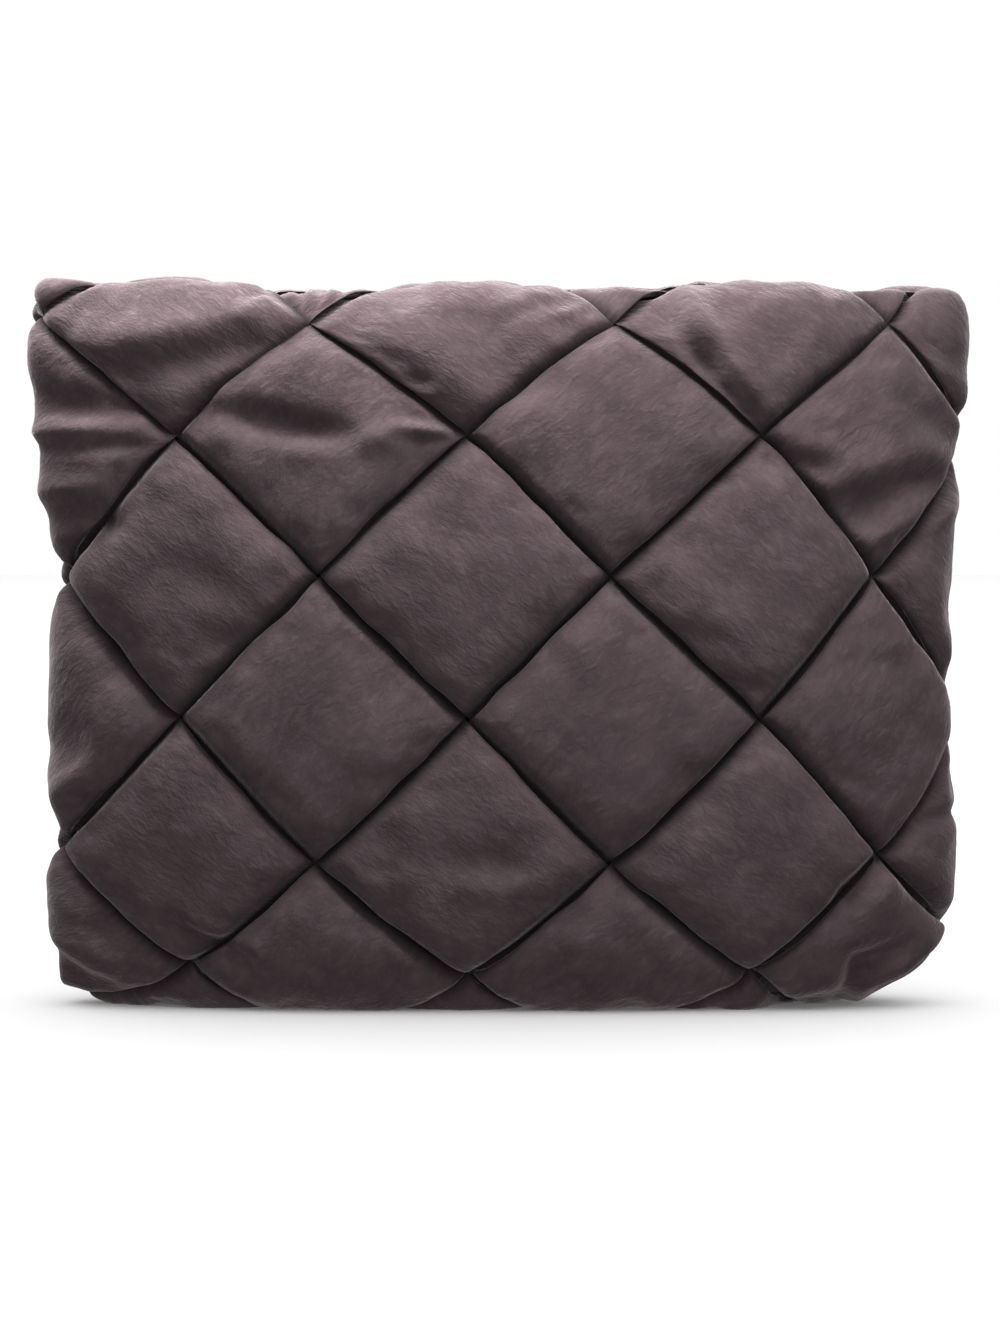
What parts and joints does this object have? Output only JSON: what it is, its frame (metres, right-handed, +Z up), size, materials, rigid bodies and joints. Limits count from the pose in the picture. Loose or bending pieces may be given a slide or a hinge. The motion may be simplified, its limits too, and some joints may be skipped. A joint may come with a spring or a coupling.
{
  "type": "document holder",
  "caption": "Soft padded document holder, an open upright pouch of wide taupe nylon bands plaited on the bias.",
  "frame": {"origin": "on the floor under the middle of the pouch", "axes": "+X to the viewer's right along the mouth, +Y from the front face to the back face, +Z up through the mouth"},
  "size_m": [0.3764, 0.102, 0.2941],
  "materials": {
    "padded_nylon": "crinkled, low sheen"
  },
  "bodies": {
    "root": {"band_right_1": "padded_nylon", "band_right_2": "padded_nylon", "band_right_3": "padded_nylon", "band_left_1": "padded_nylon", "band_left_2": "padded_nylon", "band_left_3": "padded_nylon", "band_corner": "padded_nylon"}
  },
  "joints": []
}
